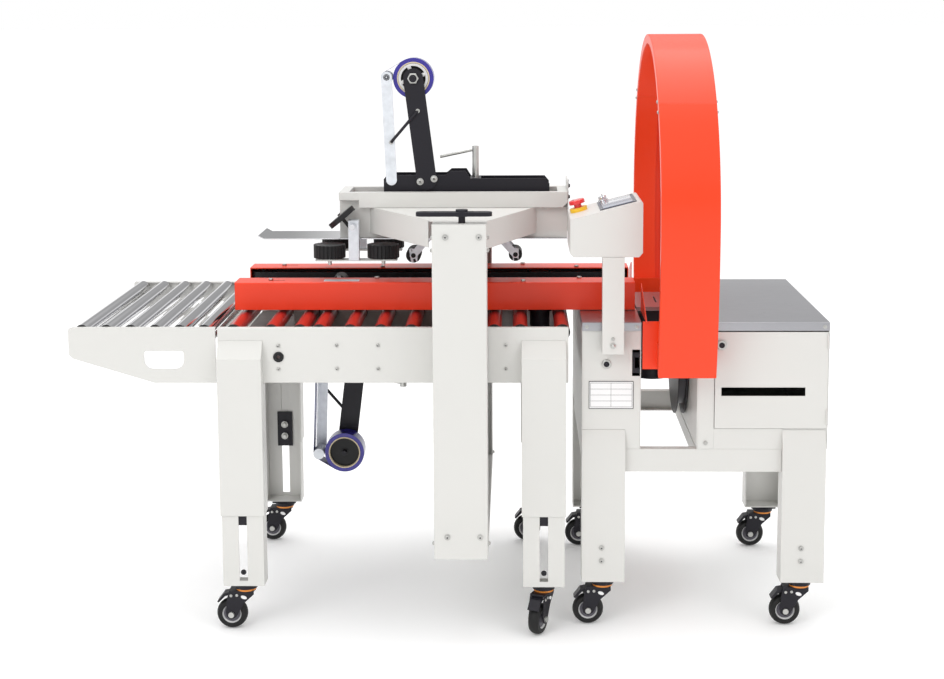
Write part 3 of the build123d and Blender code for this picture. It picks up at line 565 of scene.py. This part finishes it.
for side, sign in (("front", -1), ("back", 1)):
    socket_shades(f"column_sockets_{side}", [(cx, sign * COLUMN_FACE_Y, cz) for cx in (0.0005, 0.0773)
                                       for cz in (0.970, 0.262)],
            (0, sign, 0), 0.005, "gantry")

# black end caps of the deck rollers
ROLLER_Z = 0.727
LONG_ROLLER_X = (-0.512, -0.422, 0.110, 0.172, 0.272)
SHORT_ROLLER_X = (-0.353, -0.307, -0.233, -0.160, -0.087, -0.014, 0.058)
CAP = [(0.0181, 0), (0.0184, 0.0005), (0.0184, 0.0108), (0.0176, 0.0116), (0.0075, 0.0116),
       (0.0075, 0.0113), (0.0175, 0.0113), (0.0181, 0.0106), (0.0181, 0)]
bm = bmesh.new()
for sign in (-1, 1):
    for cap_x in LONG_ROLLER_X + SHORT_ROLLER_X:
        lathe_into(bm, CAP, (cap_x, sign * 0.3160, ROLLER_Z), (0, sign, 0))
    for cap_x in SHORT_ROLLER_X:
        lathe_into(bm, CAP, (cap_x, sign * 0.0743, ROLLER_Z), (0, -sign, 0))
finish_piece("deck_roller_caps", bm, BLACK_PLASTIC, "root")

# screws of the head frame's end plate, the side plates' grommets and the screws of the strapper
screws("end_plate_screws", [(0.2936, sy, sz) for sy in (-0.055, 0.055)
                            for sz in (0.950, 0.978, 1.020, 1.048)],
       (1, 0, 0), 0.0045, "gantry", BLACK_PAINT)
GROMMET = [(0.0045, -0.002), (0.0085, -0.002), (0.0085, 0.0002), (0.0125, 0.0002),
           (0.0125, 0.0026), (0.0105, 0.0038), (0.006, 0.0038), (0.0045, 0.0026), (0.0045, -0.002)]
bm = bmesh.new()
for sign in (-1, 1):
    lathe_into(bm, GROMMET, (-0.402, sign * SIDE_PLATE_Y, 0.6706), (0, sign, 0))
finish_piece("grommets", bm, BLACK_PLASTIC, "root")
SEAM = math.radians(40)
SEAM_RADIUS = 0.428
ARCH_CENTRE_Z = 0.984
for name, ax, way in (("arch_seam_screws_in", 0.4929, -1), ("arch_seam_screws_out", 0.6281, 1)):
    screws(name, [(ax, sy * SEAM_RADIUS * math.cos(SEAM + turn),
                   ARCH_CENTRE_Z + SEAM_RADIUS * math.sin(SEAM + turn))
                  for sy in (-1, 1) for turn in (-0.035, 0.035)],
           (way, 0, 0), 0.0035, "root")
screws("table_screws", [(tx, -0.3181, 0.7385) for tx in (0.330, 0.448, 0.604, 0.892)],
       (0, -1, 0), 0.0032, "root")
CABINET_FACE_Y = -0.3151
screws("cabinet_screws", [(tx, CABINET_FACE_Y, tz) for tx, tz in
                          ((0.614, 0.456), (0.884, 0.456), (0.606, 0.706))],
       (0, -1, 0), 0.0038, "root")
screws("control_post_screws", [(0.390, POST_SCREW_Y, 0.716)], (0, -1, 0), 0.0032, "root")

# rivets and a blank oval plate on the sides of each castor's fork
FORK_SIDE = 0.0190


def oval_into(bm, at, towards, along, half_long, half_short, thick, steps=28):
    """Add a thin oval plate that lies on a face."""
    across = Vector(towards).cross(Vector(along))
    turns = [2 * math.pi * k / steps for k in range(steps)]
    rings = []
    for lift, shrink in ((0, 1), (thick * 0.7, 1), (thick, 0.9)):
        centre = Vector(at) + Vector(towards) * lift
        long_way = Vector(along) * half_long * shrink
        short_way = across * half_short * shrink
        rings.append([bm.verts.new(centre + long_way * math.cos(turn) + short_way * math.sin(turn))
                      for turn in turns])
    for low, high in zip(rings, rings[1:]):
        for k in range(steps):
            nxt = (k + 1) % steps
            bm.faces.new([low[k], low[nxt], high[nxt], high[k]])
    bm.faces.new(rings[0])
    bm.faces.new(rings[-1])


RIVET = [(0, 0), (0.0036, 0), (0.0034, 0.0012), (0.0020, 0.0021), (0, 0.0023)]
for castor in CASTORS:
    kingpin, trail, spin = castor_axes(castor)
    rivets, badges = bmesh.new(), bmesh.new()
    for side in (-1, 1):
        face = kingpin + spin * side * FORK_SIDE
        for along, height in ((0.035, 0.085), (0.021, 0.086)):
            lathe_into(rivets, RIVET, face + trail * along + Vector((0, 0, height)), spin * side,
                       steps=20)
        tilt = (trail + Vector((0, 0, 0.35))).normalized()
        oval_into(badges, face + trail * 0.004 + Vector((0, 0, 0.081)), spin * side, tilt,
                  0.0075, 0.0042, 0.0008)
    finish_piece(f"castor_rivets_{castor}", rivets, ZINC, f"fork_{castor}")
    finish_piece(f"castor_badges_{castor}", badges, LABEL, f"fork_{castor}")

# key locks
KEY_LOCK = [(0, 0), (0.0115, 0), (0.0115, 0.002), (0.0102, 0.0034), (0.0072, 0.0036),
            (0.0068, 0.0024), (0.0025, 0.0024), (0.002, 0.0015), (0, 0.0015)]
KEYWAY = [(0, 0.0015), (0.0066, 0.0015), (0.0066, 0.0028), (0.0022, 0.0028), (0.0018, 0.0022),
          (0, 0.0022)]
for name, at, body in (("left_key_lock", (0.377, CABINET_FACE_Y, 0.648), "root"),
                       ("door_key_lock", DOOR_LOCK, "door")):
    finish_piece(name, lathe_into(bmesh.new(), KEY_LOCK, at, (0, -1, 0)), ZINC, body)
    keyway = lathe_into(bmesh.new(), KEYWAY, at, (0, -1, 0))
    finish_piece(f"{name}_barrel", keyway, BLACK_PAINT, body)

# rating plate with blank fields
PLATE_X, PLATE_Z = (0.336, 0.441), (0.540, 0.606)
MARGIN, LINE, FRAME_LINE = 0.003, 0.0006, 0.0014
bm = slab_into(bmesh.new(), (PLATE_X[0], CABINET_FACE_Y - 0.0006, PLATE_Z[0]),
               (PLATE_X[1], CABINET_FACE_Y, PLATE_Z[1]))
finish_piece("rating_plate", bm, LABEL, "root")
bm = bmesh.new()
rows = 4
row_height = (PLATE_Z[1] - PLATE_Z[0] - 0.008) / rows
row_lines = [PLATE_Z[0] + 0.004 + row_height * k for k in range(rows + 1)]
for z in row_lines:
    slab_into(bm, (PLATE_X[0] + MARGIN, CABINET_FACE_Y - 0.0009, z - LINE / 2),
              (PLATE_X[1] - MARGIN, CABINET_FACE_Y - 0.0005, z + LINE / 2))
for x in (PLATE_X[0] + MARGIN, PLATE_X[0] + 0.052, PLATE_X[1] - MARGIN):
    slab_into(bm, (x - LINE / 2, CABINET_FACE_Y - 0.0009, row_lines[0]),
              (x + LINE / 2, CABINET_FACE_Y - 0.0005, row_lines[-1]))
for x in PLATE_X:
    slab_into(bm, (x - FRAME_LINE / 2, CABINET_FACE_Y - 0.0011, PLATE_Z[0]),
              (x + FRAME_LINE / 2, CABINET_FACE_Y, PLATE_Z[1]))
for z in PLATE_Z:
    slab_into(bm, (PLATE_X[0], CABINET_FACE_Y - 0.0011, z - FRAME_LINE / 2),
              (PLATE_X[1], CABINET_FACE_Y, z + FRAME_LINE / 2))
finish_piece("rating_plate_lines", bm, INK, "root")

# strap guide in the notch of the left cabinet
bm = bmesh.new()
slab_into(bm, (0.4395, -0.3144, 0.626), (0.4445, -0.3060, 0.676), 0.001)
slab_into(bm, (0.4445, -0.3144, 0.664), (0.4610, -0.3060, 0.676), 0.001)
slab_into(bm, (0.4445, -0.3144, 0.626), (0.4610, -0.3060, 0.638), 0.001)
finish_piece("strap_guide", bm, BLACK_PAINT, "root")

# screen and key switch on the sloping lid
LID = Matrix.Translation((0.4025, -0.250, 1.0289)) @ Matrix.Rotation(-LID_SLOPE, 4, "Y")


def on_lid(bm):
    """Carry a shape made flat at the origin onto the lid."""
    bmesh.ops.transform(bm, matrix=LID, verts=bm.verts)
    return bm


finish_piece("screen_glass", on_lid(slab_into(bmesh.new(), (-0.036, -0.066, 0.0006),
                                              (0.036, 0.066, 0.0018), 0.0004)),
             SCREEN, "root")
SCREEN_SCREW = [(0, 0.0008), (0.0024, 0.0008), (0.0024, 0.0016), (0.001, 0.0018), (0, 0.0012)]
bm = bmesh.new()
for sy in (-1, 1):
    for sx in (-1, 1):
        lathe_into(bm, SCREEN_SCREW, (sx * 0.0405, sy * 0.0715, 0), (0, 0, 1), steps=20)
finish_piece("screen_screws", on_lid(bm), ZINC, "root")
bm = lathe_into(bmesh.new(), [(0, -0.001), (0.013, -0.001), (0.013, 0.003), (0.010, 0.004),
                              (0.010, 0.011), (0.0085, 0.0125), (0, 0.0125)],
                (-0.028, 0.087, -0.0008), (0, 0, 1))
slab_into(bm, (-0.0295, 0.075, 0.0118), (-0.0265, 0.099, 0.0165), 0.0008)
finish_piece("key_switch", on_lid(bm), CHROME, "root")

# screws in the legs' slots, and the bolts of the clamp plates inside the legs
screws("leg_slot_screws", [(lx, -0.3674, 0.150) for lx in LEG_X], (0, -1, 0), 0.0045, "root",
       BLACK_PAINT)
CLAMP_BOLT = [(0, 0), (0.0095, 0), (0.0095, 0.0015), (0.0065, 0.0016), (0.0065, 0.007),
              (0.005, 0.0085), (0, 0.0085)]
bm = bmesh.new()
for lx in LEG_X:
    for sy in (-1, 1):
        for lz in (0.295, 0.328):
            lathe_into(bm, CLAMP_BOLT, (lx, sy * 0.3538, lz), (0, -sy, 0), steps=24)
finish_piece("leg_clamp_bolts", bm, ZINC, "root")

# ------------------------------------------------------------------ floor, light, camera
FLOOR_SIZE = 900
bpy.ops.mesh.primitive_plane_add(size=FLOOR_SIZE, location=(0, 0, 0))
floor = bpy.context.object
floor.name = "floor"
floor_mat = shader("pale_floor", (0.93, 0.93, 0.93), 0.75, vary=0.004, patch=0.4, grain=6,
                   bump=0.0, wear=0.0)
floor_surface = floor_mat.node_tree.nodes["Principled BSDF"]
floor_surface.inputs["Emission Color"].default_value = (1, 1, 1, 1)
floor_surface.inputs["Emission Strength"].default_value = 0.12
floor.data.materials.append(floor_mat)

scene = bpy.context.scene
scene.view_settings.view_transform = "Standard"
world = bpy.data.worlds.new("studio")
scene.world = world
world.use_nodes = True
sky = world.node_tree.nodes["Background"]
sky.inputs["Strength"].default_value = 1.0
# bright at the horizon and overhead, dimmer between, so that bare metal has something to reflect;
# each stop is the height in the sky and the brightness there
sky_nodes, sky_link = world.node_tree.nodes, world.node_tree.links
direction = sky_nodes.new("ShaderNodeTexCoord")
split = sky_nodes.new("ShaderNodeSeparateXYZ")
sky_link.new(direction.outputs["Generated"], split.inputs[0])
ramp = sky_nodes.new("ShaderNodeValToRGB")
sky_link.new(split.outputs["Z"], ramp.inputs["Fac"])
SKY = [(0.0, 1.0), (0.10, 1.0), (0.17, 0.42), (0.27, 0.46), (0.38, 0.85), (0.60, 1.1),
       (1.0, 1.15)]
while len(ramp.color_ramp.elements) < len(SKY):
    ramp.color_ramp.elements.new(0.5)
for element, (height, level) in zip(ramp.color_ramp.elements, SKY):
    element.position = height
    element.color = (level, level, level, 1)
sky_link.new(ramp.outputs["Color"], sky.inputs["Color"])


def softbox(name, at, target, size, power):
    """A large square lamp that faces a point."""
    lamp = bpy.data.lights.new(name, "AREA")
    lamp.energy = power
    lamp.size = size
    obj = bpy.data.objects.new(name, lamp)
    scene.collection.objects.link(obj)
    obj.location = at
    obj.rotation_mode = "QUATERNION"
    obj.rotation_quaternion = (Vector(target) - Vector(at)).to_track_quat("-Z", "Y")


softbox("key", (-2.6, -4.2, 3.6), (0, 0, 0.7), 2.6, 70)
softbox("fill", (3.8, -3.6, 2.6), (0.2, 0, 0.7), 2.4, 25)
softbox("top", (0, 0.6, 4.2), (0, 0, 0.6), 3.2, 60)

camera_data = bpy.data.cameras.new("camera")
camera = bpy.data.objects.new("camera", camera_data)
scene.collection.objects.link(camera)
scene.camera = camera
camera_data.lens = 61.71
camera_data.sensor_width = 36
camera_data.shift_y = -0.12
camera_data.clip_end = 200
camera.location = (0.1612, -4.0975, 1.4715)
PITCH, YAW, ROLL = 7.409, 1.552, -0.3145
look = (Matrix.Rotation(math.radians(YAW), 4, "Z")
        @ Matrix.Rotation(math.radians(90 - PITCH), 4, "X")
        @ Matrix.Rotation(math.radians(ROLL), 4, "Z"))
camera.rotation_mode = "QUATERNION"
camera.rotation_quaternion = look.to_quaternion()
